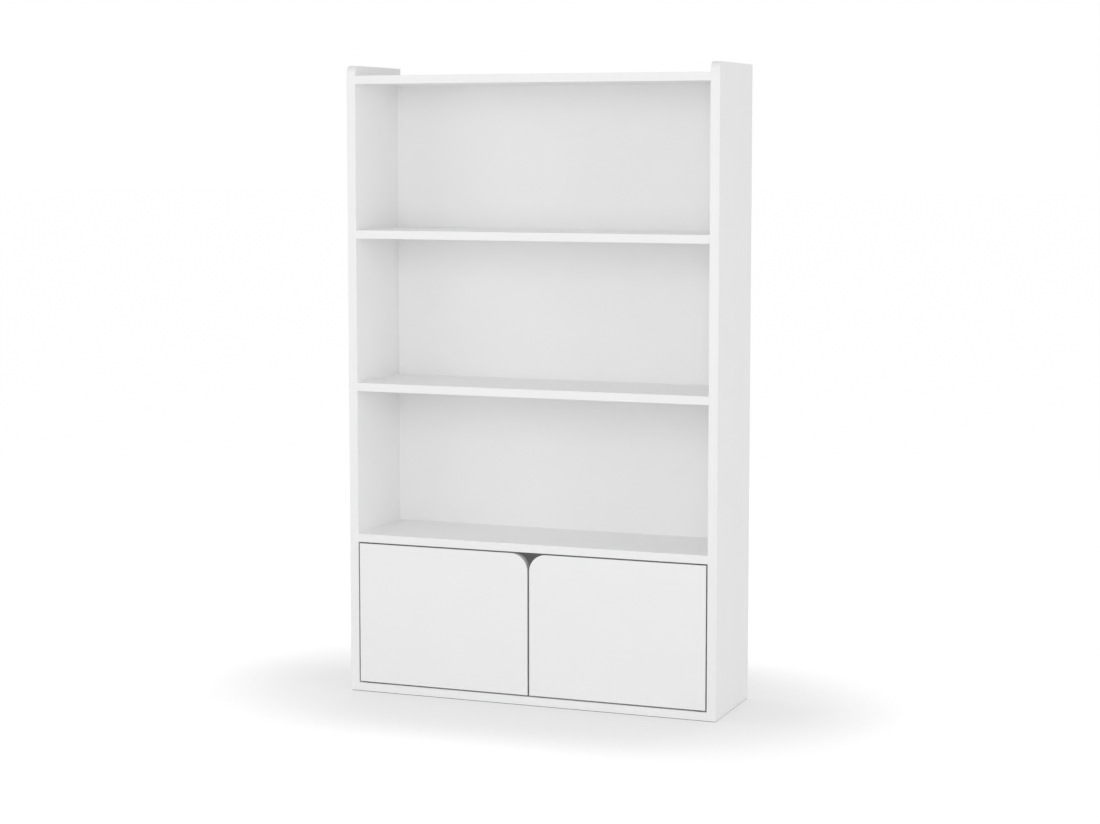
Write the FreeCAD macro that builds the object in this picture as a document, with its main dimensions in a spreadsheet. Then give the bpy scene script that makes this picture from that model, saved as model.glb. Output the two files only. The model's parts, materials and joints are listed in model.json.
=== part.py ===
import FreeCAD, Part
import os
import re

import Sketcher
from FreeCAD import Rotation, Vector

# A free-standing bookcase: two side panels carry a top panel, three fixed shelves and a bottom
# panel, and two inset doors close the lowest of its four bays.
# Millimetres. The origin is on the floor, below the middle of the bookcase.
# +X is to the right seen from the front, +Y is to the rear and +Z is up.

SIZES = (
    # the carcass
    ("overall_width", 890, "outside width over both side panels"),
    ("overall_depth", 250, "front edge to rear edge of a side panel"),
    ("overall_height", 1450, "floor to the top of the side panels"),
    ("side_thickness", 21, "side panel"),
    ("board_thickness", 19, "each horizontal board"),
    ("top_recess", 22.5, "rise of the side panels above the top panel"),
    ("cabinet_height", 332, "clear height of the bay behind the doors"),
    ("side_corner_radius", 18, "rounding of each side panel's upper front corner"),
    # the back
    ("back_thickness", 3, "each back panel"),
    ("back_inset", 14, "rear edge of the side panels to the back panels' groove"),
    ("groove_depth", 7, "groove for the back panels"),
    ("groove_clearance", 0.2, "between a back panel and each wall or floor of its groove"),
    ("seam_gap", 1, "between the two back panels, behind the middle shelf"),
    ("nail_radius", 0.7, "shank of a back panel nail"),
    ("nail_length", 18, "back panel nail under its head"),
    ("nail_head_radius", 2, "head of a back panel nail"),
    ("nail_head_height", 0.8, "head of a back panel nail"),
    ("nail_end_inset", 60, "outermost nail to the inside face of a side panel"),
    ("seam_nail_offset", 5, "nails above and below the seam, from the middle of the shelf"),
    # cam joints between the boards and the side panels
    ("bolt_inset", 37, "front and rear cam bolts to the edge of the shelf"),
    ("dowel_offset", 32, "wooden dowel to the cam bolt beside it"),
    ("cam_inset", 34, "middle of a cam to the end of its board"),
    ("cam_radius", 7.5, "cam"),
    ("cam_height", 12.5, "cam"),
    ("cam_slot_width", 1.6, "screwdriver slot in a cam"),
    ("cam_slot_depth", 2, "screwdriver slot in a cam"),
    ("cap_radius", 8.5, "cover cap over a cam"),
    ("cap_height", 0.8, "cover cap over a cam"),
    ("thread_radius", 2.5, "threaded end of a cam bolt, in the side panel"),
    ("thread_length", 11, "threaded end of a cam bolt, in the side panel"),
    ("shank_radius", 3.5, "shank of a cam bolt, in the board"),
    ("neck_radius", 2, "neck of a cam bolt, inside the cam"),
    ("neck_length", 4, "neck of a cam bolt, inside the cam"),
    ("bolt_head_radius", 3, "head of a cam bolt, inside the cam"),
    ("bolt_head_length", 2.5, "head of a cam bolt, inside the cam"),
    ("dowel_radius", 4, "wooden dowel"),
    ("dowel_length", 30, "wooden dowel"),
    ("dowel_side_depth", 10, "wooden dowel's depth in a side panel"),
    ("bore_clearance", 0.05, "between a fixed fitting and the wall of its bore"),
    ("bore_end_clearance", 0.5, "between a fixed fitting and the floor of its bore"),
    # the glides under the side panels
    ("glide_height", 1.2, "glide below the side panel"),
    ("glide_recess", 3, "glide sunk into the side panel"),
    ("glide_radius", 8, "glide"),
    ("glide_inset", 62, "glide to the front or rear edge of the side panel"),
    ("glide_nail_radius", 1.3, "nail of a glide"),
    ("glide_nail_length", 14, "nail of a glide above its pad"),
    # the doors
    ("door_thickness", 18, "door"),
    ("door_side_gap", 3.4, "door to side panel"),
    ("door_meeting_gap", 4.3, "door to door"),
    ("door_top_gap", 3.3, "door to the shelf above it"),
    ("door_bottom_gap", 3.5, "door to the bottom panel"),
    ("finger_radius", 40, "rounded upper corner of each door where the two meet"),
    # the pivot hinges, one pin above and one below each door
    ("pivot_inset", 17, "hinge axis to the outer edge of the door"),
    ("pin_radius", 3, "hinge pin"),
    ("pin_board_depth", 10, "hinge pin's depth in the board"),
    ("pin_door_depth", 13, "hinge pin's depth in the door"),
    ("pin_running_clearance", 0.05, "between a hinge pin and the bush that turns on it"),
    ("pin_collar_radius", 4.5, "collar on a lower hinge pin, which carries the door"),
    ("collar_clearance", 0.1, "between that collar and the door's bush"),
    ("bush_radius", 5, "hinge bush"),
    ("bush_floor", 1.5, "closed end of a hinge bush"),
    ("bush_flange_radius", 6.5, "flange of a hinge bush"),
    ("bush_flange_height", 1.5, "flange of a hinge bush"),
    # the magnetic catches under the shelf above the doors
    ("catch_offset", 95, "middle of a catch to the middle of the bookcase"),
    ("catch_width", 30, "catch housing"),
    ("catch_depth", 14, "catch housing, front to rear"),
    ("catch_height", 17, "catch housing with its ears"),
    ("catch_ear_width", 11, "each screw ear of a catch"),
    ("catch_ear_height", 2.5, "each screw ear of a catch"),
    ("catch_set_back", 0.5, "housing behind the front of its pole plates"),
    ("magnet_width", 24, "magnet and pole plates"),
    ("magnet_depth", 9, "pole plate, front to rear"),
    ("magnet_height", 5, "magnet between its pole plates"),
    ("pole_thickness", 1.5, "pole plate"),
    ("pole_clearance", 0.1, "between the pole plates and the housing around them"),
    ("catch_floor", 2, "housing below the lower pole plate"),
    ("strike_width", 50, "strike plate on a door"),
    ("strike_height", 10, "strike plate on a door"),
    ("strike_thickness", 1.2, "strike plate on a door"),
    ("strike_screw_spacing", 40, "between the two screws of a strike plate"),
    ("strike_gap", 0.3, "between a strike plate and the pole plates, door shut"),
    ("screw_radius", 1.5, "shank of a small screw"),
    ("screw_length", 12, "small screw under its head"),
    ("screw_head_radius", 2.9, "head of a small screw"),
    ("screw_head_height", 1.6, "head of a small screw"),
)

doc = FreeCAD.newDocument("Bookcase")
sheet = doc.addObject("Spreadsheet::Sheet", "Sizes")
for row, (alias, number, note) in enumerate(SIZES, start=1):
    sheet.set(f"A{row}", note)
    sheet.set(f"B{row}", str(number))
    sheet.setAlias(f"B{row}", alias)
doc.recompute()

# Lengths that follow from the sizes, written as expressions on the sheet.
BOARD_COUNT = 5
OPEN_BAY_COUNT = 3
FRONT = "(-overall_depth / 2)"
INSIDE_WIDTH = "(overall_width - 2 * side_thickness)"
PANEL_HEIGHT = "(overall_height - glide_height)"
GROOVE_WIDTH = "(back_thickness + 2 * groove_clearance)"
SHELF_DEPTH = f"(overall_depth - back_inset - {GROOVE_WIDTH})"
BACK_REACH = "(groove_depth - groove_clearance)"
BAYS_AND_BOARDS = "(overall_height - top_recess - glide_height)"
OPEN_HEIGHT = f"({BAYS_AND_BOARDS} - cabinet_height - {BOARD_COUNT} * board_thickness)"
OPEN_BAY = f"({OPEN_HEIGHT} / {OPEN_BAY_COUNT})"
HALF_BOARD = "(board_thickness / 2)"
HALF_SIDE = "(side_thickness / 2)"

# Underside of each horizontal board above the floor.
BOTTOM_LEVEL = "glide_height"
CABINET_TOP_LEVEL = "(glide_height + board_thickness + cabinet_height)"
MIDDLE_LEVEL = f"({CABINET_TOP_LEVEL} + board_thickness + {OPEN_BAY})"
UPPER_LEVEL = f"({MIDDLE_LEVEL} + board_thickness + {OPEN_BAY})"
TOP_LEVEL = "(overall_height - top_recess - board_thickness)"
LEVELS = (BOTTOM_LEVEL, CABINET_TOP_LEVEL, MIDDLE_LEVEL, UPPER_LEVEL, TOP_LEVEL)

# Places along the depth of a board, from its front edge.
BOLT_PLACES = ("bolt_inset", f"({SHELF_DEPTH} - bolt_inset)")
DOWEL_PLACES = ("(bolt_inset + dowel_offset)", f"({SHELF_DEPTH} - bolt_inset - dowel_offset)")
GLIDE_PLACES = {"front": "glide_inset", "rear": "(overall_depth - glide_inset)"}

DOOR_WIDTH = f"(({INSIDE_WIDTH} - door_meeting_gap) / 2 - door_side_gap)"
DOOR_HEIGHT = "(cabinet_height - door_top_gap - door_bottom_gap)"
DOOR_LEVEL = "(glide_height + board_thickness + door_bottom_gap)"
PIVOT_DEPTH = "(door_thickness / 2)"
PIVOT_X = f"({INSIDE_WIDTH} / 2 - door_side_gap - pivot_inset)"
BUSH_LENGTH = {"board": "(pin_board_depth + bush_floor)", "door": "(pin_door_depth + bush_floor)"}
STRIKE_DROP = "(catch_height - catch_floor - pole_thickness - magnet_height / 2)"
STRIKE_BACK = f"({FRONT} + door_thickness + strike_thickness)"
CATCH_FRONT = f"({STRIKE_BACK} + strike_gap + catch_set_back)"
CATCH_SCREW_OFFSET = "((catch_width + catch_ear_width) / 2)"
SCREW_HOLE_RADIUS = "(screw_radius + bore_clearance)"

SIDES = {"left": -1, "right": 1}
NAILS_PER_ROW = 4
TURNS = {
    "+x": Rotation(Vector(0, 1, 0), 90),
    "-x": Rotation(Vector(0, 1, 0), -90),
    "+y": Rotation(Vector(1, 0, 0), -90),
    "-y": Rotation(Vector(1, 0, 0), 90),
    "+z": Rotation(),
    "-z": Rotation(Vector(1, 0, 0), 180),
}
TOWARDS = {-1: "-x", 1: "+x"}

parts = []


def on_sheet(text):
    """The text with each size named in it turned into a reference to its cell."""
    return re.sub(r"\b[a-z]+(?:_[a-z]+)+\b", lambda word: f"Sizes.{word.group()}", str(text))


def value(text):
    """The number that an expression on the sheet comes to."""
    return float(sheet.evalExpression(on_sheet(text)))


def bind(thing, **expressions):
    for name, text in expressions.items():
        thing.setExpression(name, on_sheet(text))


def place(thing, x, y, z):
    for axis, text in zip("xyz", (x, y, z)):
        thing.setExpression(f".Placement.Base.{axis}", on_sheet(text))


def keep(thing, label):
    """Make the object one of the bookcase's sub-parts."""
    thing.Label = label
    parts.append(thing)
    return thing


# Sketches and the features made from them.

def new_body(label):
    return keep(doc.addObject("PartDesign::Body", label), label)


def origin_plane(body, role):
    return next(plane for plane in body.Origin.OriginFeatures if plane.Role == role)


def new_sketch(body, role, offset="0"):
    """A sketch on one of the body's planes, moved along that plane's normal."""
    sketch = body.newObject("Sketcher::SketchObject", "Sketch")
    sketch.AttachmentSupport = (origin_plane(body, role), [""])
    sketch.MapMode = "FlatFace"
    sketch.setExpression("AttachmentOffset.Base.z", on_sheet(offset))
    return sketch


def dimension(sketch, kind, places, text):
    """Add a dimension that follows an expression."""
    index = sketch.addConstraint(Sketcher.Constraint(kind, *places, value(text)))
    sketch.setExpression(f"Constraints[{index}]", on_sheet(text))


def draw_rectangle(sketch, left, bottom, width, height):
    x, y = value(left), value(bottom)
    corners = [Vector(x, y), Vector(x + value(width), y)]
    corners += [corner + Vector(0, value(height)) for corner in reversed(corners)]
    first = sketch.GeometryCount
    for number, corner in enumerate(corners):
        sketch.addGeometry(Part.LineSegment(corner, corners[(number + 1) % 4]), False)
    for number in range(4):
        following = first + (number + 1) % 4
        sketch.addConstraint(Sketcher.Constraint("Coincident", first + number, 2, following, 1))
        direction = "Vertical" if number % 2 else "Horizontal"
        sketch.addConstraint(Sketcher.Constraint(direction, first + number))
    dimension(sketch, "DistanceX", (-1, 1, first, 1), left)
    dimension(sketch, "DistanceY", (-1, 1, first, 1), bottom)
    dimension(sketch, "DistanceX", (first, 1, first, 2), width)
    dimension(sketch, "DistanceY", (first + 1, 1, first + 1, 2), height)


def draw_circle(sketch, x, y, radius):
    centre = Vector(value(x), value(y))
    number = sketch.addGeometry(Part.Circle(centre, Vector(0, 0, 1), value(radius)), False)
    dimension(sketch, "DistanceX", (-1, 1, number, 3), x)
    dimension(sketch, "DistanceY", (-1, 1, number, 3), y)
    dimension(sketch, "Radius", (number,), radius)


def pad(body, sketch, length, backwards=False):
    feature = body.newObject("PartDesign::Pad", "Pad")
    feature.Profile = sketch
    feature.Reversed = backwards
    bind(feature, Length=length)
    doc.recompute()
    return feature


def pocket(body, sketch, depth, along_normal=False):
    """Cut the sketch into the body, against its plane's normal unless told otherwise."""
    feature = body.newObject("PartDesign::Pocket", "Pocket")
    feature.Profile = sketch
    feature.Reversed = along_normal
    bind(feature, Length=depth)
    doc.recompute()
    return feature


def round_corner(body, base, corner, radius):
    """Round the edge of the base feature whose middle is at the corner."""
    target = Vector(*(value(text) for text in corner))
    distances = [edge.CenterOfMass.distanceToPoint(target) for edge in base.Shape.Edges]
    number = distances.index(min(distances)) + 1
    feature = body.newObject("PartDesign::Fillet", "Fillet")
    feature.Base = (base, [f"Edge{number}"])
    bind(feature, Radius=radius)
    doc.recompute()
    return feature


def mirror_across(body, role, originals):
    feature = body.newObject("PartDesign::Mirrored", "Mirrored")
    feature.Originals = originals
    feature.MirrorPlane = (origin_plane(body, role), [""])
    body.Tip = feature
    doc.recompute()
    return feature


# Solids made from primitives.

def block(width, depth, height, x, y, z):
    """A box whose lowest corner is at x, y, z."""
    box = doc.addObject("Part::Box", "Block")
    bind(box, Length=width, Width=depth, Height=height)
    place(box, x, y, z)
    return box


def rod(radius, length, x, y, z, direction="+z"):
    """A cylinder that starts at x, y, z and runs in the direction."""
    cylinder = doc.addObject("Part::Cylinder", "Rod")
    bind(cylinder, Radius=radius, Height=length)
    cylinder.Placement.Rotation = TURNS[direction]
    place(cylinder, x, y, z)
    return cylinder


def join(*solids):
    union = doc.addObject("Part::MultiFuse", "Union")
    union.Shapes = list(solids)
    return union


def cut(solid, *tools):
    difference = doc.addObject("Part::Cut", "Difference")
    difference.Base = solid
    difference.Tool = tools[0] if len(tools) == 1 else join(*tools)
    return difference


def group(label, solids):
    """Identical small pieces that share one node as separate solids."""
    compound = doc.addObject("Part::Compound", label)
    compound.Links = solids
    return keep(compound, label)


# The carcass.

def make_side_panel(label, side):
    """A side panel. Its frame starts on its inside face, at the lower front corner."""
    body = new_body(label)
    outline = new_sketch(body, "YZ_Plane")
    draw_rectangle(outline, "0", "0", "overall_depth", PANEL_HEIGHT)
    blank = pad(body, outline, "side_thickness", backwards=side < 0)
    corner = (f"{side} * {HALF_SIDE}", "0", PANEL_HEIGHT)
    round_corner(body, blank, corner, "side_corner_radius")

    inwards = side > 0
    groove = new_sketch(body, "YZ_Plane")
    groove_bottom = "(board_thickness - groove_depth)"
    groove_height = f"({TOP_LEVEL} - glide_height + groove_depth - {groove_bottom})"
    draw_rectangle(groove, SHELF_DEPTH, groove_bottom, GROOVE_WIDTH, groove_height)
    pocket(body, groove, "groove_depth", inwards)

    bolt_bores = new_sketch(body, "YZ_Plane")
    dowel_bores = new_sketch(body, "YZ_Plane")
    for level in LEVELS:
        height = f"({level} - glide_height + {HALF_BOARD})"
        for bolt, dowel in zip(BOLT_PLACES, DOWEL_PLACES):
            draw_circle(bolt_bores, bolt, height, "thread_radius + bore_clearance")
            draw_circle(dowel_bores, dowel, height, "dowel_radius + bore_clearance")
    pocket(body, bolt_bores, "thread_length + bore_end_clearance", inwards)
    pocket(body, dowel_bores, "dowel_side_depth + bore_end_clearance", inwards)

    recesses = new_sketch(body, "XY_Plane")
    nail_bores = new_sketch(body, "XY_Plane")
    for glide_place in GLIDE_PLACES.values():
        across = f"{side} * {HALF_SIDE}"
        draw_circle(recesses, across, glide_place, "glide_radius + bore_clearance")
        draw_circle(nail_bores, across, glide_place, "glide_nail_radius + bore_clearance")
    pocket(body, recesses, "glide_recess", True)
    pocket(body, nail_bores, "glide_recess + glide_nail_length + bore_end_clearance", True)
    place(body, f"{side} * {INSIDE_WIDTH} / 2", FRONT, "glide_height")
    return body


def make_board(label, level, depth, cams_above):
    """A board between the side panels. Its frame starts at the middle of its lower front edge."""
    body = new_body(label)
    outline = new_sketch(body, "XY_Plane")
    draw_rectangle(outline, f"-{INSIDE_WIDTH} / 2", "0", INSIDE_WIDTH, depth)
    pad(body, outline, "board_thickness")

    cam_bores = new_sketch(body, "XY_Plane", "board_thickness" if cams_above else "0")
    bolt_bores = new_sketch(body, "YZ_Plane", f"-{INSIDE_WIDTH} / 2")
    dowel_bores = new_sketch(body, "YZ_Plane", f"-{INSIDE_WIDTH} / 2")
    for bolt, dowel in zip(BOLT_PLACES, DOWEL_PLACES):
        draw_circle(cam_bores, f"cam_inset - {INSIDE_WIDTH} / 2", bolt, "cam_radius + bore_clearance")
        draw_circle(bolt_bores, bolt, HALF_BOARD, "shank_radius + bore_clearance")
        draw_circle(dowel_bores, dowel, HALF_BOARD, "dowel_radius + bore_clearance")
    dowel_depth = "dowel_length - dowel_side_depth + bore_end_clearance"
    bores = [
        pocket(body, cam_bores, "cam_height + bore_end_clearance", not cams_above),
        pocket(body, bolt_bores, "cam_inset", True),
        pocket(body, dowel_bores, dowel_depth, True),
    ]
    mirror_across(body, "YZ_Plane", bores)
    place(body, "0", FRONT, level)
    return body


def cut_back_groove(body, face_height, upwards):
    """The groove for the back panels, across the whole length of the top or bottom panel."""
    groove = new_sketch(body, "XY_Plane", face_height)
    draw_rectangle(groove, f"-{INSIDE_WIDTH} / 2", SHELF_DEPTH, INSIDE_WIDTH, GROOVE_WIDTH)
    pocket(body, groove, "groove_depth", upwards)


def nail_columns():
    """Places of the nails across the back, from the middle of the bookcase."""
    span = f"({INSIDE_WIDTH} - 2 * nail_end_inset)"
    steps = NAILS_PER_ROW - 1
    return [f"({span} * {step} / {steps} - {span} / 2)" for step in range(NAILS_PER_ROW)]


def drill_nail_bores(body, heights, plane_depth, bore_depth):
    bores = new_sketch(body, "XZ_Plane", f"-{plane_depth}")
    for height in heights:
        for column in nail_columns():
            draw_circle(bores, column, height, "nail_radius + bore_clearance")
    pocket(body, bores, bore_depth, True)


def make_back_panel(label, lower, upper, nail_heights):
    """A thin sheet from one height to another. Its frame starts on its front face, on the floor."""
    body = new_body(label)
    outline = new_sketch(body, "XZ_Plane")
    width = f"({INSIDE_WIDTH} + 2 * {BACK_REACH})"
    draw_rectangle(outline, f"-{width} / 2", lower, width, f"({upper} - {lower})")
    pad(body, outline, "back_thickness", backwards=True)
    drill_nail_bores(body, nail_heights, "back_thickness", "back_thickness")
    place(body, "0", f"{FRONT} + {SHELF_DEPTH} + groove_clearance", "0")
    return body


# Where the nails enter each shelf, and the joint of the two back panels behind the middle one.
SEAM_LEVEL = f"({MIDDLE_LEVEL} + {HALF_BOARD})"
UPPER_NAIL_HEIGHTS = (f"({SEAM_LEVEL} + seam_nail_offset)", f"({UPPER_LEVEL} + {HALF_BOARD})")
LOWER_NAIL_HEIGHTS = (f"({CABINET_TOP_LEVEL} + {HALF_BOARD})", f"({SEAM_LEVEL} - seam_nail_offset)")
NAIL_SHELF_DEPTH = "(nail_length - back_thickness - groove_clearance + bore_end_clearance)"

for side_name, side in SIDES.items():
    make_side_panel(f"{side_name}_side_panel", side)

top_panel = make_board("top_panel", TOP_LEVEL, "overall_depth", cams_above=True)
cut_back_groove(top_panel, "0", upwards=True)

upper_shelf = make_board("upper_shelf", UPPER_LEVEL, SHELF_DEPTH, cams_above=False)
drill_nail_bores(upper_shelf, [HALF_BOARD], SHELF_DEPTH, NAIL_SHELF_DEPTH)

middle_shelf = make_board("middle_shelf", MIDDLE_LEVEL, SHELF_DEPTH, cams_above=False)
seam_nails = [f"({HALF_BOARD} + seam_nail_offset)", f"({HALF_BOARD} - seam_nail_offset)"]
drill_nail_bores(middle_shelf, seam_nails, SHELF_DEPTH, NAIL_SHELF_DEPTH)

cabinet_top_shelf = make_board("cabinet_top_shelf", CABINET_TOP_LEVEL, SHELF_DEPTH, cams_above=False)
drill_nail_bores(cabinet_top_shelf, [HALF_BOARD], SHELF_DEPTH, NAIL_SHELF_DEPTH)

bottom_panel = make_board("bottom_panel", BOTTOM_LEVEL, "overall_depth", cams_above=False)
cut_back_groove(bottom_panel, "board_thickness", upwards=False)

back_foot = "(glide_height + board_thickness - groove_depth + groove_clearance)"
back_head = f"({TOP_LEVEL} + groove_depth - groove_clearance)"
make_back_panel("lower_back_panel", back_foot, f"({SEAM_LEVEL} - seam_gap / 2)", LOWER_NAIL_HEIGHTS)
make_back_panel("upper_back_panel", f"({SEAM_LEVEL} + seam_gap / 2)", back_head, UPPER_NAIL_HEIGHTS)


# The doors and the pivot hinges that carry them.

def bore_for_bush(body, x, face_height, upwards, length):
    """The stepped bore of a hinge bush, from a face of a board or an edge of a door."""
    y = PIVOT_DEPTH
    sleeve = new_sketch(body, "XY_Plane", face_height)
    draw_circle(sleeve, x, y, "bush_radius + bore_clearance")
    pocket(body, sleeve, f"{length} + bore_end_clearance", upwards)
    flange = new_sketch(body, "XY_Plane", face_height)
    draw_circle(flange, x, y, "bush_flange_radius + bore_clearance")
    pocket(body, flange, "bush_flange_height", upwards)


def make_door(label, side):
    """An inset door. Its frame starts at the lower front corner beside the side panel."""
    body = new_body(label)
    outline = new_sketch(body, "XY_Plane")
    draw_rectangle(outline, "0" if side < 0 else f"-{DOOR_WIDTH}", "0", DOOR_WIDTH, "door_thickness")
    blank = pad(body, outline, DOOR_HEIGHT)
    meeting_corner = (f"{-side} * {DOOR_WIDTH}", "door_thickness / 2", DOOR_HEIGHT)
    round_corner(body, blank, meeting_corner, "finger_radius")
    pivot = f"{-side} * pivot_inset"
    bore_for_bush(body, pivot, "0", True, BUSH_LENGTH["door"])
    bore_for_bush(body, pivot, DOOR_HEIGHT, False, BUSH_LENGTH["door"])

    screw_bores = new_sketch(body, "XZ_Plane", "-door_thickness")
    strike_x = f"{-side} * ({INSIDE_WIDTH} / 2 - door_side_gap - catch_offset)"
    strike_z = f"({DOOR_HEIGHT} + door_top_gap - {STRIKE_DROP})"
    for end in (-1, 1):
        across = f"{strike_x} + {end} * strike_screw_spacing / 2"
        draw_circle(screw_bores, across, strike_z, SCREW_HOLE_RADIUS)
    pocket(body, screw_bores, "screw_length - strike_thickness + bore_end_clearance", True)
    place(body, f"{side} * ({INSIDE_WIDTH} / 2 - door_side_gap)", FRONT, DOOR_LEVEL)
    return body


def make_bush(label, side, level, direction, length, hole_radius):
    """A flanged bush with one closed end, flush with the face at the level."""
    x = f"{side} * {PIVOT_X}"
    y = f"{FRONT} + {PIVOT_DEPTH}"
    sleeve = rod("bush_radius", length, x, y, level, direction)
    flange = rod("bush_flange_radius", "bush_flange_height", x, y, level, direction)
    hole = rod(hole_radius, f"{length} - bush_floor", x, y, level, direction)
    return keep(cut(join(sleeve, flange), hole), label)


def make_pin(label, side, board_face, gap, upwards, collar):
    """A hinge pin from its seat in the board's bush into the door's bush."""
    x = f"{side} * {PIVOT_X}"
    y = f"{FRONT} + {PIVOT_DEPTH}"
    sign = 1 if upwards else -1
    direction = "+z" if upwards else "-z"
    start = f"{board_face} - {sign} * pin_board_depth"
    length = f"pin_board_depth + {gap} + pin_door_depth - bore_end_clearance"
    pin = rod("pin_radius", length, x, y, start, direction)
    if collar:
        ring = rod("pin_collar_radius", f"{gap} - collar_clearance", x, y, board_face, direction)
        pin = join(pin, ring)
    return keep(pin, label)


LOWER_FACE = "(glide_height + board_thickness)"
UPPER_FACE = CABINET_TOP_LEVEL
for side_name, side in SIDES.items():
    make_door(f"{side_name}_door", side)
    bore_for_bush(bottom_panel, f"{side} * {PIVOT_X}", "board_thickness", False, BUSH_LENGTH["board"])
    bore_for_bush(cabinet_top_shelf, f"{side} * {PIVOT_X}", "0", True, BUSH_LENGTH["board"])

    held = "pin_radius + bore_clearance / 2"
    turning = "pin_radius + pin_running_clearance"
    make_bush(f"{side_name}_lower_board_bush", side, LOWER_FACE, "-z", BUSH_LENGTH["board"], held)
    make_bush(f"{side_name}_upper_board_bush", side, UPPER_FACE, "+z", BUSH_LENGTH["board"], held)
    lower_edge = DOOR_LEVEL
    upper_edge = f"({DOOR_LEVEL} + {DOOR_HEIGHT})"
    make_bush(f"{side_name}_lower_door_bush", side, lower_edge, "+z", BUSH_LENGTH["door"], turning)
    make_bush(f"{side_name}_upper_door_bush", side, upper_edge, "-z", BUSH_LENGTH["door"], turning)
    make_pin(f"{side_name}_lower_hinge_pin", side, LOWER_FACE, "door_bottom_gap", True, collar=True)
    make_pin(f"{side_name}_upper_hinge_pin", side, UPPER_FACE, "door_top_gap", False, collar=False)


# The magnetic catches and what they hold the doors by.

def screw(x, y, z, direction):
    """A small pan-head screw whose head sits on the face at x, y, z; it runs in the direction."""
    against = {"+z": "-z", "-y": "+y"}[direction]
    shank = rod("screw_radius", "screw_length", x, y, z, direction)
    return join(shank, rod("screw_head_radius", "screw_head_height", x, y, z, against))


def make_catch(side_name, side):
    """The housing under the shelf, with its magnet between two steel pole plates."""
    middle = f"{side} * catch_offset"
    bottom = f"({CABINET_TOP_LEVEL} - catch_height)"
    housing_x = f"{middle} - catch_width / 2"
    shell = block("catch_width", "catch_depth", "catch_height", housing_x, CATCH_FRONT, bottom)
    ears_width = "(catch_width + 2 * catch_ear_width)"
    ears_z = f"{CABINET_TOP_LEVEL} - catch_ear_height"
    ears_x = f"{middle} - {ears_width} / 2"
    ears = block(ears_width, "catch_depth", "catch_ear_height", ears_x, CATCH_FRONT, ears_z)
    pocket_width = "(magnet_width + 2 * pole_clearance)"
    pocket_depth = "magnet_depth - catch_set_back + pole_clearance"
    pocket_height = "magnet_height + 2 * pole_thickness + 2 * pole_clearance"
    pocket_x = f"{middle} - {pocket_width} / 2"
    pocket_z = f"{bottom} + catch_floor - pole_clearance"
    hollow = block(pocket_width, pocket_depth, pocket_height, pocket_x, CATCH_FRONT, pocket_z)
    screw_y = f"{CATCH_FRONT} + catch_depth / 2"
    holes = []
    for end in (-1, 1):
        screw_x = f"{middle} + {end} * {CATCH_SCREW_OFFSET}"
        holes.append(rod(SCREW_HOLE_RADIUS, "catch_ear_height", screw_x, screw_y, ears_z))
        catch_screws.append(screw(screw_x, screw_y, ears_z, "+z"))
    keep(cut(join(shell, ears), hollow, *holes), f"{side_name}_catch_housing")

    pole_x = f"{middle} - magnet_width / 2"
    pole_y = f"{CATCH_FRONT} - catch_set_back"
    lower_pole_z = f"{bottom} + catch_floor"
    magnet_z = f"{lower_pole_z} + pole_thickness"
    upper_pole_z = f"{magnet_z} + magnet_height"
    for pole_z in (lower_pole_z, upper_pole_z):
        pole_plates.append(block("magnet_width", "magnet_depth", "pole_thickness", pole_x, pole_y, pole_z))
    magnet_depth = "magnet_depth - catch_set_back"
    magnets.append(block("magnet_width", magnet_depth, "magnet_height", pole_x, CATCH_FRONT, magnet_z))


def make_strike(side_name, side):
    """The steel plate on the back of the door, with its two screws."""
    middle = f"{side} * catch_offset"
    level = f"{CABINET_TOP_LEVEL} - {STRIKE_DROP}"
    door_back = f"{FRONT} + door_thickness"
    corner = (f"{middle} - strike_width / 2", door_back, f"{level} - strike_height / 2")
    plate = block("strike_width", "strike_thickness", "strike_height", *corner)
    holes, screws = [], []
    for end in (-1, 1):
        screw_x = f"{middle} + {end} * strike_screw_spacing / 2"
        holes.append(rod(SCREW_HOLE_RADIUS, "strike_thickness", screw_x, door_back, level, "+y"))
        screws.append(screw(screw_x, STRIKE_BACK, level, "-y"))
    keep(cut(plate, *holes), f"{side_name}_strike_plate")
    group(f"{side_name}_strike_screws", screws)


catch_screws, pole_plates, magnets = [], [], []
for side_name, side in SIDES.items():
    make_catch(side_name, side)
    make_strike(side_name, side)
group("catch_magnets", magnets)
group("catch_pole_plates", pole_plates)
group("catch_screws", catch_screws)

screw_pilots = new_sketch(cabinet_top_shelf, "XY_Plane")
for side in SIDES.values():
    for end in (-1, 1):
        pilot_x = f"{side} * catch_offset + {end} * {CATCH_SCREW_OFFSET}"
        pilot_y = f"{CATCH_FRONT} - {FRONT} + catch_depth / 2"
        draw_circle(screw_pilots, pilot_x, pilot_y, SCREW_HOLE_RADIUS)
pocket(cabinet_top_shelf, screw_pilots, "screw_length - catch_ear_height + bore_end_clearance", True)


# The fittings that join the boards.

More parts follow.
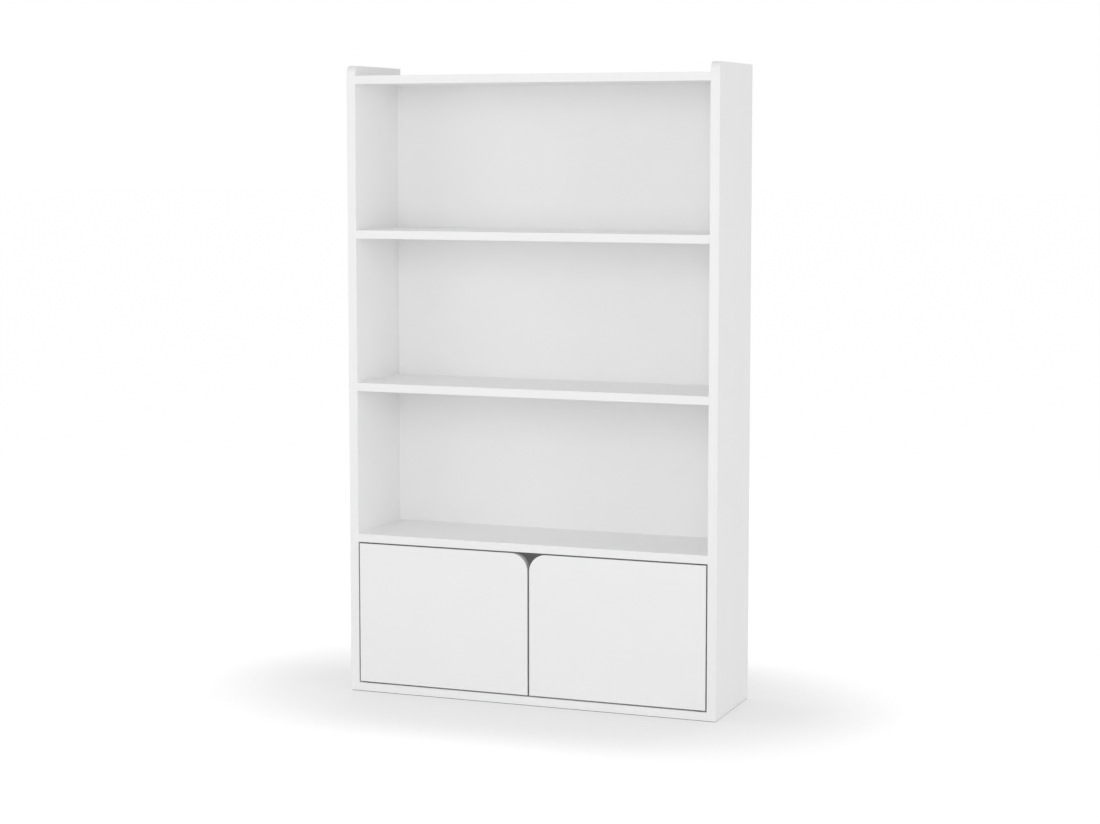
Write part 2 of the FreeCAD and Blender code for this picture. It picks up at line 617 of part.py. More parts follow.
def make_cam(x, y, level, cams_above, side):
    """A cam in its bore, open on the side where the bolt's head enters."""
    up = "+z" if cams_above else "-z"
    sign = 1 if cams_above else -1
    face = f"({level} + board_thickness)" if cams_above else f"{level}"
    floor = f"({face} - {sign} * cam_height)"
    middle = f"({level} + {HALF_BOARD})"
    drum = rod("cam_radius", "cam_height", x, y, floor, up)
    tunnel_start = f"{x} - {side} * bolt_head_length"
    tunnel_radius = "shank_radius + bore_clearance"
    tunnel = rod(tunnel_radius, "cam_radius + bolt_head_length", tunnel_start, y, middle, TOWARDS[side])
    slot_low = f"{face} - cam_slot_depth" if cams_above else f"{face}"
    slots = []
    for long_x, long_y in (("2 * cam_radius", "cam_slot_width"), ("cam_slot_width", "2 * cam_radius")):
        corner = (f"{x} - {long_x} / 2", f"{y} - {long_y} / 2", slot_low)
        slots.append(block(long_x, long_y, "cam_slot_depth", *corner))
    return cut(drum, tunnel, *slots)


def make_cam_bolt(x_wall, y, level, side):
    """A bolt from the side panel to the middle of the cam: thread, shank, neck and head."""
    middle = f"({level} + {HALF_BOARD})"
    out, back = TOWARDS[side], TOWARDS[-side]
    shank_length = "(cam_inset - neck_length - bolt_head_length / 2)"
    neck_start = f"{x_wall} - {side} * {shank_length}"
    head_start = f"{neck_start} - {side} * neck_length"
    return join(
        rod("thread_radius", "thread_length", x_wall, y, middle, out),
        rod("shank_radius", shank_length, x_wall, y, middle, back),
        rod("neck_radius", "neck_length", neck_start, y, middle, back),
        rod("bolt_head_radius", "bolt_head_length", head_start, y, middle, back),
    )


cams, cam_bolts, cover_caps, wood_dowels = [], [], [], []
for level in LEVELS:
    cams_above = level == TOP_LEVEL
    for side in SIDES.values():
        x_wall = f"{side} * {INSIDE_WIDTH} / 2"
        x_cam = f"{side} * ({INSIDE_WIDTH} / 2 - cam_inset)"
        for bolt_place, dowel_place in zip(BOLT_PLACES, DOWEL_PLACES):
            bolt_y = f"{FRONT} + {bolt_place}"
            cams.append(make_cam(x_cam, bolt_y, level, cams_above, side))
            cam_bolts.append(make_cam_bolt(x_wall, bolt_y, level, side))
            dowel_start = f"{x_wall} + {side} * dowel_side_depth"
            dowel_y = f"{FRONT} + {dowel_place}"
            dowel_z = f"{level} + {HALF_BOARD}"
            dowel = rod("dowel_radius", "dowel_length", dowel_start, dowel_y, dowel_z, TOWARDS[-side])
            wood_dowels.append(dowel)
            if level != BOTTOM_LEVEL:
                face = f"{level} + board_thickness" if cams_above else level
                outwards = "+z" if cams_above else "-z"
                cover_caps.append(rod("cap_radius", "cap_height", x_cam, bolt_y, face, outwards))
group("cam_locks", cams)
group("cam_bolts", cam_bolts)
group("cam_cover_caps", cover_caps)
group("wood_dowels", wood_dowels)

nails = []
back_face = f"{FRONT} + {SHELF_DEPTH} + groove_clearance + back_thickness"
for height in LOWER_NAIL_HEIGHTS + UPPER_NAIL_HEIGHTS:
    for column in nail_columns():
        shank = rod("nail_radius", "nail_length", column, back_face, height, "-y")
        head = rod("nail_head_radius", "nail_head_height", column, back_face, height, "+y")
        nails.append(join(shank, head))
group("back_panel_nails", nails)

for side_name, side in SIDES.items():
    for end, glide_place in GLIDE_PLACES.items():
        x = f"{side} * ({INSIDE_WIDTH} / 2 + {HALF_SIDE})"
        y = f"{FRONT} + {glide_place}"
        pad_height = "(glide_height + glide_recess)"
        glide_pad = rod("glide_radius", pad_height, x, y, "0")
        glide_nail = rod("glide_nail_radius", "glide_nail_length", x, y, pad_height)
        keep(join(glide_pad, glide_nail), f"{side_name}_{end}_glide")

doc.recompute()

# Every object has to be sound, and every cut has to have taken something away.
for thing in doc.Objects:
    if {"Invalid", "Error"} & set(thing.State):
        raise RuntimeError(f"{thing.Label}: {thing.State}")
    if thing.isDerivedFrom("PartDesign::Pocket"):
        if thing.Shape.Volume >= thing.BaseFeature.Shape.Volume:
            raise RuntimeError(f"{thing.Label} cuts nothing")
for part in parts:
    if part.Shape.isNull() or not part.Shape.isValid():
        raise RuntimeError(f"{part.Label} has no valid shape")

os.makedirs("parts", exist_ok=True)
for part in parts:
    part.Shape.exportStep(f"parts/{part.Label}.step")
    print(f"{part.Label}: {len(part.Shape.Solids)} solid(s), {part.Shape.Volume:.0f} mm3")
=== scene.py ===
"""Looks of the white bookcase with cabinet doors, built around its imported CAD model."""
import json
import math

import bmesh
import bpy
import numpy as np
from mathutils import Euler, Matrix, Vector


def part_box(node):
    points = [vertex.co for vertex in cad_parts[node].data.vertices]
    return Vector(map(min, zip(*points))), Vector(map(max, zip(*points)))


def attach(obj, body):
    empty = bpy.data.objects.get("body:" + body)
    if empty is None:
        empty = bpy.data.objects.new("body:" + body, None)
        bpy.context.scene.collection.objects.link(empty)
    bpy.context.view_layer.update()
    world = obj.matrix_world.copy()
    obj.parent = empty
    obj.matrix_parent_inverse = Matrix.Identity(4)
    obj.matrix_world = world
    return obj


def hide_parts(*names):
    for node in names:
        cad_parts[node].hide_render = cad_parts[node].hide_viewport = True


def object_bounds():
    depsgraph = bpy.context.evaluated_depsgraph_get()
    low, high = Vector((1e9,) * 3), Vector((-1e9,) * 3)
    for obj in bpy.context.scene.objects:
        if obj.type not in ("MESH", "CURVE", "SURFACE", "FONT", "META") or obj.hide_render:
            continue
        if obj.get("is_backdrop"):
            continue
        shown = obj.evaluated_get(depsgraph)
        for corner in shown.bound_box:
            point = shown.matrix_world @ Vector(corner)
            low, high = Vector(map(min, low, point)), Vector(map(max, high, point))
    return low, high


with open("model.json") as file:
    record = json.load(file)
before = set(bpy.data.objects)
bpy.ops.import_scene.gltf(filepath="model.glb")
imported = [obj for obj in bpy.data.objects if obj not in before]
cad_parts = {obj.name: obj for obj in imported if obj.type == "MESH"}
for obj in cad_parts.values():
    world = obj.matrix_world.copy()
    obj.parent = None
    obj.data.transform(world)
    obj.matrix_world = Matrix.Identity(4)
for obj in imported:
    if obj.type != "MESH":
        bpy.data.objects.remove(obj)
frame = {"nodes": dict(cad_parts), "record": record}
CAD_LOW, CAD_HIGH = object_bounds()
NODES = frame["nodes"]
BODY_OF = {node: body for body, names in frame["record"]["behaviour"]["bodies"].items() for node in names}
MM = 0.001
FRONT = CAD_LOW.y
SIDES = ("left", "right")
ACROSS, REARWARD, UP = Vector((1, 0, 0)), Vector((0, 1, 0)), Vector((0, 0, 1))
DOWN = -UP


# Node materials. Their textures follow each piece's own space, in metres.

NOISE_LOW, NOISE_HIGH = 0.3, 0.7
MIX_FIRST, MIX_SECOND, MIX_RESULT = 6, 7, 2


class Finish:
    """A material's nodes, with short calls to add and join them."""

    def __init__(self, name, roughness=0.5, metallic=0.0):
        self.material = bpy.data.materials.new(name)
        self.material.use_nodes = True
        self.nodes = self.material.node_tree.nodes
        self.links = self.material.node_tree.links
        self.shader = self.nodes["Principled BSDF"]
        self.shader.inputs["Roughness"].default_value = roughness
        self.shader.inputs["Metallic"].default_value = metallic

    def add(self, kind, inputs=None, **settings):
        node = self.nodes.new(kind)
        for key, setting in settings.items():
            setattr(node, key, setting)
        for key, given in (inputs or {}).items():
            if isinstance(given, bpy.types.NodeSocket):
                self.links.new(given, node.inputs[key])
            else:
                node.inputs[key].default_value = given
        return node

    def noise(self, size, detail, stretch=(1, 1, 1)):
        """Noise whose lumps are about this big, in metres."""
        place = self.add("ShaderNodeTexCoord").outputs["Object"]
        place = self.add("ShaderNodeMapping", {"Vector": place, "Scale": stretch}).outputs["Vector"]
        inputs = {"Vector": place, "Scale": 1 / size, "Detail": detail}
        return self.add("ShaderNodeTexNoise", inputs).outputs["Fac"]

    def between(self, factor, low, high):
        """The noise's usual range brought to between low and high."""
        inputs = {"Value": factor, "To Min": low, "To Max": high}
        inputs.update({"From Min": NOISE_LOW, "From Max": NOISE_HIGH})
        return self.add("ShaderNodeMapRange", inputs).outputs["Result"]

    def colour(self, factor, dark, light):
        mix = self.add("ShaderNodeMix", data_type="RGBA")
        self.links.new(factor, mix.inputs["Factor"])
        mix.inputs[MIX_FIRST].default_value = (*dark, 1)
        mix.inputs[MIX_SECOND].default_value = (*light, 1)
        self.links.new(mix.outputs[MIX_RESULT], self.shader.inputs["Base Color"])

    def tone(self, tone, variation, size):
        """A colour that drifts by this share over patches of this size."""
        dark = [c * (1 - variation / 2) for c in tone]
        light = [c * (1 + variation / 2) for c in tone]
        self.colour(self.between(self.noise(size, 3.0), 0, 1), dark, light)

    def sheen(self, roughness, spread, size, stretch=(1, 1, 1)):
        """Roughness that varies by this spread over patches of this size."""
        factor = self.between(self.noise(size, 2.0, stretch), roughness - spread, roughness + spread)
        self.links.new(factor, self.shader.inputs["Roughness"])

    def grain(self, size, depth, strength=0.4, stretch=(1, 1, 1)):
        """Fine bumps of this size and depth, in metres."""
        height = self.noise(size, 3.0, stretch)
        bump = self.add("ShaderNodeBump", {"Height": height, "Strength": strength, "Distance": depth})
        self.links.new(bump.outputs["Normal"], self.shader.inputs["Normal"])


def painted(name, tone, roughness, grain_size, grain_depth, variation=0.012):
    finish = Finish(name)
    finish.tone(tone, variation, size=110 * MM)
    finish.sheen(roughness, spread=0.04, size=9 * MM)
    finish.grain(grain_size, grain_depth)
    return finish.material


def metal(name, tone, roughness, grain_size):
    finish = Finish(name, metallic=1.0)
    finish.tone(tone, variation=0.08, size=3 * MM)
    finish.sheen(roughness, spread=0.06, size=0.8 * MM)
    finish.grain(grain_size, depth=0.01 * MM, strength=0.3)
    return finish.material


def beech():
    """Beech whose fibres run along X, as the dowels do."""
    fibres = (0.08, 1, 1)
    finish = Finish("beech_dowel")
    rings = finish.noise(1.2 * MM, 3.0, fibres)
    finish.colour(finish.between(rings, 0, 1), dark=(0.46, 0.3, 0.17), light=(0.62, 0.44, 0.27))
    finish.sheen(0.6, spread=0.06, size=1.5 * MM, stretch=(0.1, 1, 1))
    finish.grain(0.5 * MM, depth=0.04 * MM, strength=0.5, stretch=fibres)
    return finish.material


# Each finish gives its name, tone, roughness and grain. The door's edge band has no slot of its own; its
# grey tone is painted shade that darkens the gaps round the doors.
WHITE = (0.9, 0.9, 0.9)
MATERIALS = {
    "white_board": painted("white_coated_board", WHITE, 0.45, 0.9 * MM, 0.02 * MM),
    "white_door": painted("white_door_board", WHITE, 0.42, 1.3 * MM, 0.015 * MM),
    # Painted shade: the door edges are grey so that the gaps round the doors read dark.
    "door_gap_shade": painted("grey_band_gap_shade", (0.68, 0.68, 0.68), 0.36, 0.7 * MM, 0.015 * MM),
    "back_board": painted("white_back_sheet", WHITE, 0.55, 0.6 * MM, 0.02 * MM),
    "white_plastic": painted("white_moulded_plastic", (0.8, 0.8, 0.79), 0.35, 0.3 * MM, 0.01 * MM),
    # Bushes and pins: grey plastic and blackened steel are their finish, and their dark tones also paint
    # the shade of the door gaps where they show.
    "bush_plastic": painted("pale_bush_gap_shade", (0.55, 0.55, 0.54), 0.3, 0.3 * MM, 0.01 * MM),
    "glide_plastic": painted("grey_plastic", (0.16, 0.16, 0.16), 0.4, 0.4 * MM, 0.02 * MM),
    "steel": metal("zinc_plated_steel", (0.62, 0.63, 0.65), 0.3, 0.25 * MM),
    "dark_steel": metal("black_steel_gap_shade", (0.15, 0.15, 0.155), 0.45, 0.25 * MM),
    "zinc": metal("cast_zinc", (0.5, 0.5, 0.51), 0.42, 0.5 * MM),
    "magnet": painted("black_ferrite", (0.035, 0.035, 0.038), 0.55, 0.4 * MM, 0.03 * MM, variation=0.2),
    "dowel_wood": beech(),
}
SLOT_OF = {name: node.data.materials[0].name for name, node in NODES.items()}
for name, node in NODES.items():
    node.material_slots[0].material = MATERIALS[SLOT_OF[name]]


# Pieces that stand for CAD nodes.

SAME_POINT = 0.001 * MM
SAME_PLANE = 0.01 * MM
FLAT_ANGLE = math.radians(0.5)
SHARP_ANGLE = math.radians(40)
CORNER_ANGLE = math.radians(60)


def new_piece(name, bm, *nodes):
    """An object from the mesh, in the place and finish of the CAD nodes that it stands for."""
    bmesh.ops.recalc_face_normals(bm, faces=bm.faces)
    for face in bm.faces:
        face.smooth = True
    mesh = bpy.data.meshes.new(name)
    bm.to_mesh(mesh)
    bm.free()
    mesh.set_sharp_from_angle(angle=SHARP_ANGLE)
    piece = bpy.data.objects.new(name, mesh)
    bpy.context.scene.collection.objects.link(piece)
    slot = SLOT_OF[nodes[0]]
    mesh.materials.append(MATERIALS[slot])
    normals = piece.modifiers.new("even_normals", "WEIGHTED_NORMAL")
    normals.keep_sharp = True
    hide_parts(*nodes)
    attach(piece, BODY_OF[nodes[0]])
    return piece


def solid_of(node):
    """A CAD node's mesh with its triangles joined to whole faces."""
    bm = bmesh.new()
    bm.from_mesh(NODES[node].data)
    bmesh.ops.remove_doubles(bm, verts=bm.verts, dist=SAME_POINT)
    bmesh.ops.dissolve_limit(bm, angle_limit=FLAT_ANGLE, verts=bm.verts, edges=bm.edges)
    return bm


def outer_edges(bm, along=None):
    """The sharp edges between faces that have the whole solid on one side, so not those of bores."""
    points = np.array([vert.co for vert in bm.verts])
    outer = set()
    for face in bm.faces:
        normal = np.array(face.normal)
        if (points @ normal).max() - np.array(face.verts[0].co) @ normal < SAME_PLANE:
            outer.add(face)
    chosen = []
    for edge in bm.edges:
        if len(edge.link_faces) != 2 or not all(face in outer for face in edge.link_faces):
            continue
        direction = (edge.verts[1].co - edge.verts[0].co).normalized()
        if edge.calc_face_angle() > CORNER_ANGLE:
            if along is None or abs(direction.dot(along)) > 0.99:
                chosen.append(edge)
    return chosen


def soften(bm, edges, radius, segments=3):
    bmesh.ops.bevel(
        bm, geom=edges, offset=radius, offset_type="OFFSET", segments=segments,
        profile=0.5, affect="EDGES", clamp_overlap=True,
    )


# Boards. Those that run between the side panels have no rounding at their ends.

BOARD_ROUNDING = 0.4 * MM
SIDE_PANELS = ("left_side_panel", "right_side_panel")
BOARDS_ACROSS = ("top_panel", "upper_shelf", "middle_shelf", "cabinet_top_shelf", "bottom_panel")

for nodes, along in ((SIDE_PANELS, None), (BOARDS_ACROSS, ACROSS)):
    for node in nodes:
        bm = solid_of(node)
        soften(bm, outer_edges(bm, along), BOARD_ROUNDING)
        new_piece(f"{node}_board", bm, node)

# Faces whose normal has less than this share along Y belong to a door's edge band, which is painted grey
# as the shade of the gaps round the doors.
GAP_SHADE_NORMAL = 0.3

for side in SIDES:
    node = f"{side}_door"
    bm = solid_of(node)
    soften(bm, outer_edges(bm), BOARD_ROUNDING)
    door = new_piece(f"{node}_board", bm, node)
    # The door's edge faces take the grey painted shade of the door gaps.
    door.data.materials.append(MATERIALS["door_gap_shade"])
    for face in door.data.polygons:
        if abs(face.normal.y) < GAP_SHADE_NORMAL:
            face.material_index = 1


# Turned pieces. A profile gives radius and distance along the axis, in mm.

def turned(bm, profile, start, direction, segments=40):
    """A surface of revolution added to the mesh."""
    turn = direction.to_track_quat("Z", "Y").to_matrix()
    rings = []
    for radius, distance in profile:
        count = 1 if radius == 0 else segments
        ring = []
        for step in range(count):
            angle = 2 * math.pi * step / segments
            local = Vector((radius * math.cos(angle), radius * math.sin(angle), distance)) * MM
            ring.append(bm.verts.new(start + turn @ local))
        rings.append(ring)
    for first, second in zip(rings, rings[1:]):
        for step in range(segments):
            after = (step + 1) % segments
            corners = [first[step % len(first)], first[after % len(first)],
                       second[after % len(second)], second[step % len(second)]]
            distinct = list(dict.fromkeys(corners))
            bm.faces.new(distinct)
    return bm


def turned_piece(name, profile, node, direction):
    """A turned piece for one CAD node. Its profile starts at the node's lower or upper end."""
    low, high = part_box(node)
    centre = (low + high) / 2
    start = Vector((centre.x, centre.y, low.z if direction == UP else high.z))
    new_piece(name, turned(bmesh.new(), profile, start, direction), node)


def islands(node):
    """The lowest and highest corner of each separate solid of a CAD node."""
    bm = bmesh.new()
    bm.from_mesh(NODES[node].data)
    bmesh.ops.remove_doubles(bm, verts=bm.verts, dist=SAME_POINT)
    waiting, found = set(bm.verts), []
    while waiting:
        reached = [waiting.pop()]
        for vert in reached:
            for edge in vert.link_edges:
                other = edge.other_vert(vert)
                if other in waiting:
                    waiting.discard(other)
                    reached.append(other)
        corners = [vert.co.copy() for vert in reached]
        low = Vector([min(corner[i] for corner in corners) for i in range(3)])
        high = Vector([max(corner[i] for corner in corners) for i in range(3)])
        found.append((low, high))
    bm.free()
    return sorted(found, key=lambda pair: tuple(round(value, 5) for value in pair[0]))


# A cover cap points down from a board's underside, or up from the top panel.
CAP = [(0, 0), (8.35, 0), (8.5, 0.12), (8.5, 0.4), (8.3, 0.62), (7.7, 0.76), (6.5, 0.8), (0, 0.8)]
TOP_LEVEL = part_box("top_panel")[0].z

bm = bmesh.new()
for low, high in islands("cam_cover_caps"):
    centre = (low + high) / 2
    above = low.z > TOP_LEVEL
    start = Vector((centre.x, centre.y, low.z if above else high.z))
    turned(bm, CAP, start, UP if above else DOWN)
new_piece("cam_cover_cap_discs", bm, "cam_cover_caps")

# A nail's distances run from the underside of its head.
NAIL_HEAD = 0.8
NAIL = [(0, -18), (0.7, -16.5), (0.7, 0), (2, 0), (2, 0.3), (1.75, 0.55), (1.1, 0.74), (0, NAIL_HEAD)]

bm = bmesh.new()
for low, high in islands("back_panel_nails"):
    centre = (low + high) / 2
    turned(bm, NAIL, Vector((centre.x, high.y - NAIL_HEAD * MM, centre.z)), REARWARD, 24)
new_piece("back_panel_nail_heads", bm, "back_panel_nails")

GLIDE = [(0, 0), (6.6, 0), (7.5, 0.25), (8, 0.8), (8, 4.2), (1.3, 4.2), (1.3, 17), (0, 18.2)]
for side in SIDES:
    for end in ("front", "rear"):
        node = f"{side}_{end}_glide"
        turned_piece(f"{node}_foot", GLIDE, node, UP)

# Hinge pins and their bushes, in mm.
LOWER_GAP = (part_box("left_door")[0].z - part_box("bottom_panel")[1].z) / MM
UPPER_GAP = (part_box("cabinet_top_shelf")[0].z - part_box("left_door")[1].z) / MM
PIN_RADIUS, PIN_SEAT, PIN_REACH, PIN_CHAMFER = 3, 10, 12.5, 0.4
COLLAR_RADIUS, COLLAR_CHAMFER, COLLAR_CLEARANCE = 4.5, 0.25, 0.1
FLANGE_RADIUS, FLANGE_CHAMFER, BUSH_RADIUS, BUSH_CHAMFER, BUSH_WALL = 6.5, 0.2, 5, 0.4, 1.5
BUSH_BORE_AND_LENGTH = {"board": (3.025, 11.5), "door": (3.05, 14.5)}


def hinge_pin(gap, collar):
    """A pin from its seat in the board, across the gap, into the door. A collar fills the gap."""
    tip, rim = PIN_RADIUS - PIN_CHAMFER, COLLAR_RADIUS - COLLAR_CHAMFER
    shoulder, end = PIN_SEAT + gap - COLLAR_CLEARANCE, PIN_SEAT + gap + PIN_REACH
    profile = [(0, 0), (tip, 0), (PIN_RADIUS, PIN_CHAMFER)]
    if collar:
        profile += [(PIN_RADIUS, PIN_SEAT), (rim, PIN_SEAT), (COLLAR_RADIUS, PIN_SEAT + COLLAR_CHAMFER),
                    (COLLAR_RADIUS, shoulder - COLLAR_CHAMFER), (rim, shoulder), (PIN_RADIUS, shoulder)]
    return profile + [(PIN_RADIUS, end - PIN_CHAMFER), (tip, end), (0, end)]


def bush(hole, length):
    """A flanged bush with one closed end. Distances run from its open face into the bore."""
    bottom = length - BUSH_WALL
    inside = [(0, bottom), (hole, bottom), (hole, BUSH_CHAMFER), (hole + BUSH_CHAMFER, 0)]
    flange = [(FLANGE_RADIUS - FLANGE_CHAMFER, 0), (FLANGE_RADIUS, FLANGE_CHAMFER),
              (FLANGE_RADIUS, BUSH_WALL), (BUSH_RADIUS, BUSH_WALL)]
    outside = [(BUSH_RADIUS, length - BUSH_CHAMFER), (BUSH_RADIUS - BUSH_CHAMFER, length), (0, length)]
    return inside + flange + outside


for side in SIDES:
    for place, gap in (("lower", LOWER_GAP), ("upper", UPPER_GAP)):
        lower = place == "lower"
        node = f"{side}_{place}_hinge_pin"
        turned_piece(f"{node}_turned", hinge_pin(gap, collar=lower), node, UP if lower else DOWN)
        for part, (hole, length) in BUSH_BORE_AND_LENGTH.items():
            node = f"{side}_{place}_{part}_bush"
            opens_down = (part == "door") == lower
            turned_piece(f"{node}_moulded", bush(hole, length), node, UP if opens_down else DOWN)


# Small fittings of the doors.

SCREW_HEAD = 1.6
SCREW_PROFILE = [(0, -SCREW_HEAD), (1.2, -1.55), (2.1, -1.32), (2.65, -0.9), (2.9, -0.35), (2.9, 0),
                 (1.5, 0), (1.5, 9.5), (0, 12)]
# The reach, half width and level of the cross recess at its mouth and at its bottom.
CROSS_ENDS = ((1.65, 0.42, -1.8), (0.55, 0.2, -0.35))
FIRST_SPIN, NEXT_SPIN = 25, 37


def screw_blank():
    bm = turned(bmesh.new(), SCREW_PROFILE, Vector(), UP, 32)
    bmesh.ops.recalc_face_normals(bm, faces=bm.faces)
    return bm


def cross_cutter():
    """A cross with twelve corners at each end, which narrows into the screw's head."""
    bm = bmesh.new()
    ends = []
    for reach, half_width, level in CROSS_ENDS:
        corners = []
        for quarter in range(4):
            turn = Matrix.Rotation(math.radians(90 * quarter), 3, "Z")
            for x, y in ((half_width, -half_width), (reach, -half_width), (reach, half_width)):
                corners.append(bm.verts.new(turn @ Vector((x, y, level)) * MM))
        ends.append(corners)
        bm.faces.new(corners)
    count = len(ends[0])
    for step in range(count):
        after = (step + 1) % count
        bm.faces.new([ends[0][step], ends[0][after], ends[1][after], ends[1][step]])
    bmesh.ops.recalc_face_normals(bm, faces=bm.faces)
    return bm


def crossed_screw():
    """A pan-head screw with a cross recess. Its head sits at the origin and it points up."""
    things = []
    for name, bm in (("screw_blank", screw_blank()), ("screw_cross", cross_cutter())):
        mesh = bpy.data.meshes.new(name)
        bm.to_mesh(mesh)
        bm.free()
        things.append(bpy.data.objects.new(name, mesh))
        bpy.context.scene.collection.objects.link(things[-1])
    head, cutter = things
    cut = head.modifiers.new("recess", "BOOLEAN")
    cut.operation, cut.solver, cut.object = "DIFFERENCE", "EXACT", cutter
    finished = bpy.data.meshes.new_from_object(head.evaluated_get(bpy.context.evaluated_depsgraph_get()))
    for thing in things:
        bpy.data.objects.remove(thing)
    return finished


SCREW = crossed_screw()


def screws(name, node, direction):
    """A screw for each solid of the node, all pointing one way."""
    bm = bmesh.new()
    turn = direction.to_track_quat("Z", "Y").to_matrix().to_4x4()
    for order, (low, high) in enumerate(islands(node)):
        half_length = abs((high - low).dot(direction)) / 2
        seat = (low + high) / 2 - direction * (half_length - SCREW_HEAD * MM)
        spin = Matrix.Rotation(math.radians(FIRST_SPIN + NEXT_SPIN * order), 4, "Z")
        start = len(bm.verts)
        bm.from_mesh(SCREW)
        bm.verts.ensure_lookup_table()
        bmesh.ops.transform(bm, matrix=Matrix.Translation(seat) @ turn @ spin, verts=bm.verts[start:])
    new_piece(name, bm, node)


STRIKE_CORNER, STRIKE_ROUNDING = 2.5 * MM, 0.25 * MM
HOUSING_RIM, HOUSING_ROUNDING = 5 * MM, 0.5 * MM

screws("catch_screws_cross_head", "catch_screws", UP)
for side in SIDES:
    screws(f"{side}_strike_screws_cross_head", f"{side}_strike_screws", -REARWARD)

    node = f"{side}_strike_plate"
    bm = solid_of(node)
    soften(bm, outer_edges(bm, REARWARD), STRIKE_CORNER, 6)
    soften(bm, outer_edges(bm), STRIKE_ROUNDING, 2)
    new_piece(f"{node}_pressed", bm, node)

    node = f"{side}_catch_housing"
    bm = solid_of(node)
    rims = [edge for edge in bm.edges if edge.calc_length() > HOUSING_RIM and edge.is_convex
            and edge.calc_face_angle() > CORNER_ANGLE]
    soften(bm, rims, HOUSING_ROUNDING)
    new_piece(f"{node}_moulded", bm, node)


# Fittings whose CAD shape is right get only their worked edges, of this width in mm.
WORKED_EDGES = {"catch_pole_plates": 0.2, "catch_magnets": 0.3, "cam_locks": 0.25, "cam_bolts": 0.25,
                "wood_dowels": 0.6}

for node, width in WORKED_EDGES.items():
    weld = NODES[node].modifiers.new("weld", "WELD")
    weld.merge_threshold = SAME_POINT
    edge = NODES[node].modifiers.new("edge", "BEVEL")
    edge.width, edge.segments, edge.limit_method = width * MM, 2, "ANGLE"
    edge.angle_limit = math.radians(50)


# The stage. Camera, mirror and glass rays see a white room; the light on the bookcase is plain.

def seen_by(material_nodes, links):
    """1 for rays that show the room, 0 for those that only light the bookcase."""
    path = material_nodes.new("ShaderNodeLightPath")
    total = path.outputs["Is Camera Ray"]
    for ray in ("Is Glossy Ray", "Is Transmission Ray"):
        larger = material_nodes.new("ShaderNodeMath")
        larger.operation = "MAXIMUM"
        links.new(total, larger.inputs[0])
        links.new(path.outputs[ray], larger.inputs[1])
        total = larger.outputs[0]
    return total


# The floor lights the bookcase with its own tone. Seen, it is mostly an even white, which a ramp over
# how much of the sky each point sees darkens near the bookcase: openness, then the level shown.
FLOOR_HALF = 60
FLOOR_TONE = 0.8
SHOWN_TONE, SHOWN_LIFT = 0.1, 0.942
SHADOW_REACH = 0.42
SHADOW = ((0.45, 0.75), (0.6, 0.772), (0.76, 0.788), (0.84, 0.815), (0.91, 0.863), (0.955, 0.917))


def make_floor():
    """A wide pale floor that fades to white away from the soft shadow round the bookcase."""
    mesh = bpy.data.meshes.new("floor")
    corners = [(x * FLOOR_HALF, y * FLOOR_HALF, 0) for x, y in ((-1, -1), (1, -1), (1, 1), (-1, 1))]
    mesh.from_pydata(corners, [], [(0, 1, 2, 3)])
    floor = bpy.data.objects.new("floor", mesh)
    bpy.context.scene.collection.objects.link(floor)
    finish = Finish("floor_paint", roughness=0.9)
    finish.shader.inputs["Base Color"].default_value = (FLOOR_TONE, FLOOR_TONE, FLOOR_TONE, 1)

    near = finish.add("ShaderNodeAmbientOcclusion", {"Distance": SHADOW_REACH}, samples=12)
    shade = finish.add("ShaderNodeValToRGB", {"Fac": near.outputs["AO"]})
    for place, level in SHADOW:
        shade.color_ramp.elements.new(place).color = (level, level, level, 1)
    tone = finish.add("ShaderNodeMath", {0: shade.outputs["Color"], 1: SHOWN_TONE}, operation="MULTIPLY")
    lift = finish.add("ShaderNodeMath", {0: shade.outputs["Color"], 1: SHOWN_LIFT}, operation="MULTIPLY")
    paint = finish.add("ShaderNodeBsdfDiffuse", {"Color": tone.outputs[0]})
    glow = finish.add("ShaderNodeEmission", {"Strength": lift.outputs[0]})
    shown = finish.add("ShaderNodeAddShader", {0: paint.outputs[0], 1: glow.outputs[0]})
    seen = seen_by(finish.nodes, finish.links)
    mix = finish.add("ShaderNodeMixShader", {0: seen, 1: finish.shader.outputs[0], 2: shown.outputs[0]})
    finish.links.new(mix.outputs[0], finish.nodes["Material Output"].inputs["Surface"])
    mesh.materials.append(finish.material)
    floor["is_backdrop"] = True


def make_world(strength):
    """A white world that lights the bookcase at this strength and shows at a strength of 1."""
    world = bpy.data.worlds.new("studio")
    bpy.context.scene.world = world
    world.use_nodes = True
    nodes, links = world.node_tree.nodes, world.node_tree.links
    level = nodes.new("ShaderNodeMapRange")
    level.inputs["To Min"].default_value = strength
    level.inputs["To Max"].default_value = 1.0
    links.new(seen_by(nodes, links), level.inputs["Value"])
    nodes["Background"].inputs["Color"].default_value = (1, 1, 1, 1)
    links.new(level.outputs["Result"], nodes["Background"].inputs["Strength"])


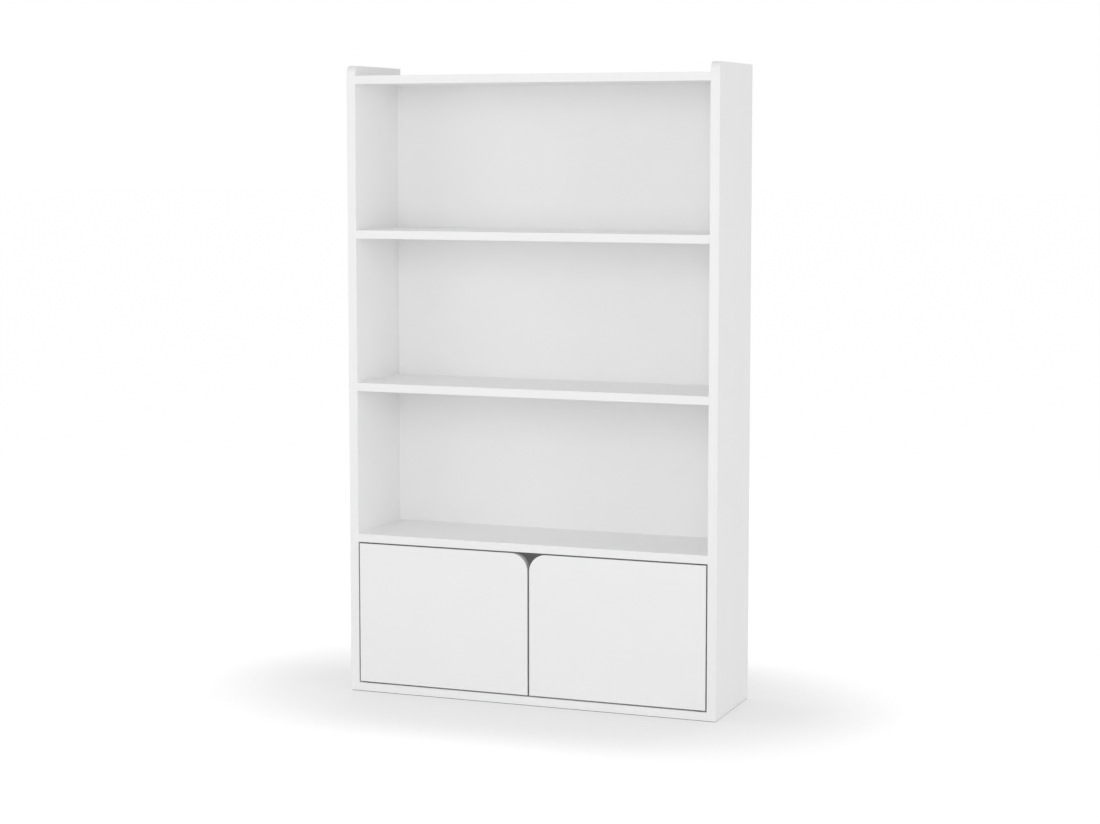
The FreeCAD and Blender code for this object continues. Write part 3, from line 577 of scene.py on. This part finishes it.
def lamp(name, power, place, aim, size):
    """A rectangular lamp at a place, turned to what it aims at."""
    light = bpy.data.lights.new(name, "AREA")
    light.energy = power
    light.shape = "RECTANGLE"
    light.size, light.size_y = size
    thing = bpy.data.objects.new(name, light)
    bpy.context.scene.collection.objects.link(thing)
    thing.location = place
    thing.rotation_euler = (Vector(place) - Vector(aim)).to_track_quat("Z", "Y").to_euler()


WORLD_STRENGTH = 0.535
MIDDLE = (0, 0, 0.725)
CABINET_LEVEL = 0.18
# Each lamp gives its power in watts, its place, what it aims at, and its width and height.
LAMPS = {
    "softbox_front": (20.7, (0.6, -3, 1.3), MIDDLE, (2, 2)),
    "softbox_left": (12.3, (-2.2, -2.2, 1.5), MIDDLE, (2, 2)),
    "softbox_right": (96.0, (6.5, -1.6, 1.1), MIDDLE, (4, 2.2)),
    "softbox_rear": (26.0, (-1.5, 3, 1.4), MIDDLE, (2, 2)),
    "softbox_top": (17.4, (0.4, -3.2, 5.0), MIDDLE, (3, 3)),
    "cabinet_fill": (0.07, (0, FRONT + 33 * MM, CABINET_LEVEL), (0, 0.5, CABINET_LEVEL), (0.78, 0.24)),
}

make_floor()
make_world(WORLD_STRENGTH)
for name, settings in LAMPS.items():
    lamp(name, *settings)

# The camera looks a little down, so its lens is shifted only by what that leaves of the photograph's
# framing. Its place and turn are fitted to the bookcase's corners and edges.
PHOTO_WIDTH, PHOTO_HEIGHT = 1100, 824
FOCAL_PIXELS = 2403.43
OPTICAL_ROW = 381.6
SENSOR_WIDTH = 36.0
CAMERA_RIGHT, CAMERA_AWAY, CAMERA_HEIGHT = 1.97219, 4.99685, 1.26788
LOOKS_DOWN, LOOKS_LEFT = math.radians(5.6), math.radians(21.0107)

camera_data = bpy.data.cameras.new("camera")
camera_data.sensor_width = SENSOR_WIDTH
camera_data.lens = FOCAL_PIXELS / PHOTO_WIDTH * SENSOR_WIDTH
camera_data.shift_y = (OPTICAL_ROW - PHOTO_HEIGHT / 2) / PHOTO_WIDTH
camera = bpy.data.objects.new("camera", camera_data)
camera.location = (CAMERA_RIGHT, FRONT - CAMERA_AWAY, CAMERA_HEIGHT)
camera.rotation_euler = Euler((math.radians(90) - LOOKS_DOWN, 0, LOOKS_LEFT))
bpy.context.scene.collection.objects.link(camera)
bpy.context.scene.camera = camera

bpy.context.scene.view_settings.view_transform = "Standard"

low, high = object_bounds()
